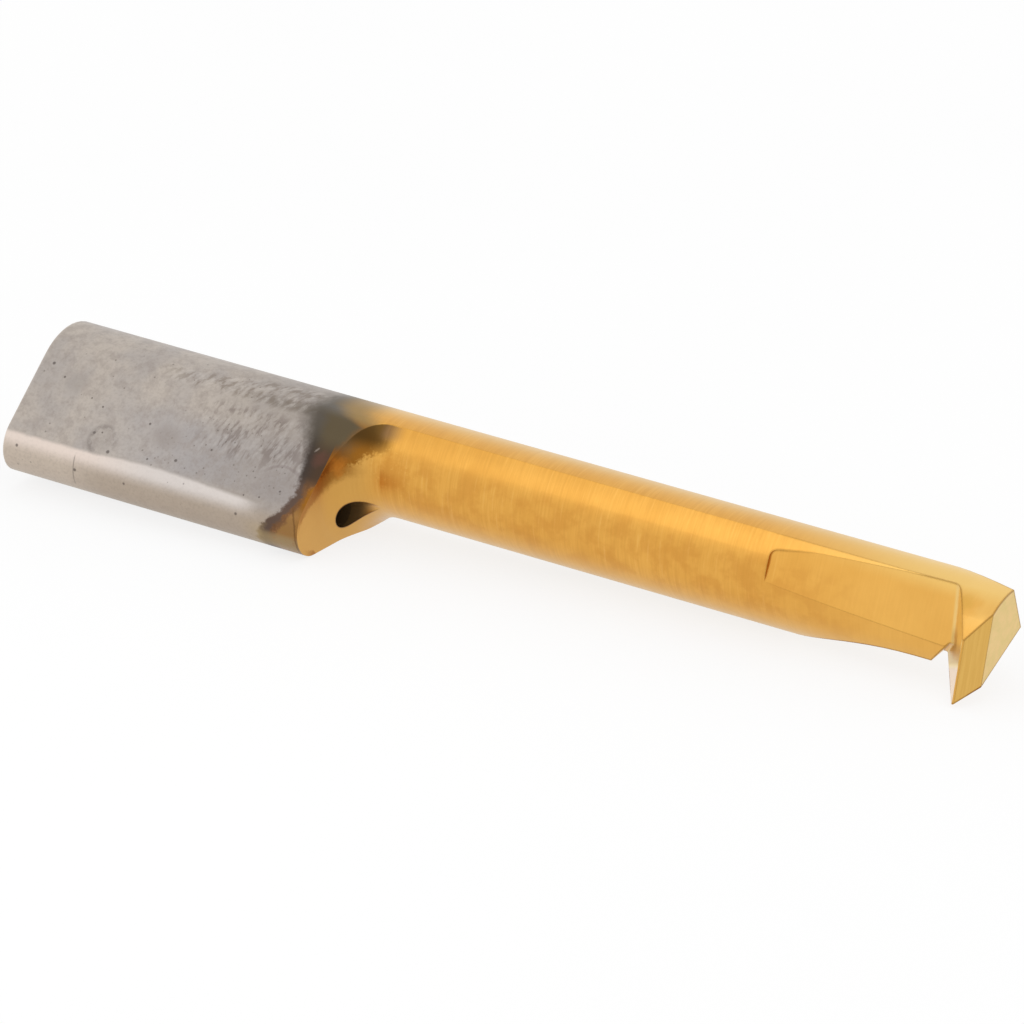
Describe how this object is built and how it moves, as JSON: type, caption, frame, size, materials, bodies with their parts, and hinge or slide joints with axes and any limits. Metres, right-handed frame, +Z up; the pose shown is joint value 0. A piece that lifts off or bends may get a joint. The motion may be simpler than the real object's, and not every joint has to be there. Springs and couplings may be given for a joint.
{
  "type": "single point threading tool",
  "caption": "Solid carbide internal threading bar: teardrop shank, round neck and a ground 60 degree V tooth at the nose, with a gold coating on the working end.",
  "frame": {"origin": "centre of the underside of the bounding box, on the surface the bar lies on", "axes": "+X along the bar from the rear face to the tooth, 2 degrees nose down, +Z up from the surface it lies on"},
  "size_m": [0.0404, 0.0068, 0.0054],
  "materials": {
    "coated_carbide": "satin, gold coated neck and head, bare grey shank"
  },
  "bodies": {
    "root": {"threading_bar": "coated_carbide"}
  },
  "joints": []
}
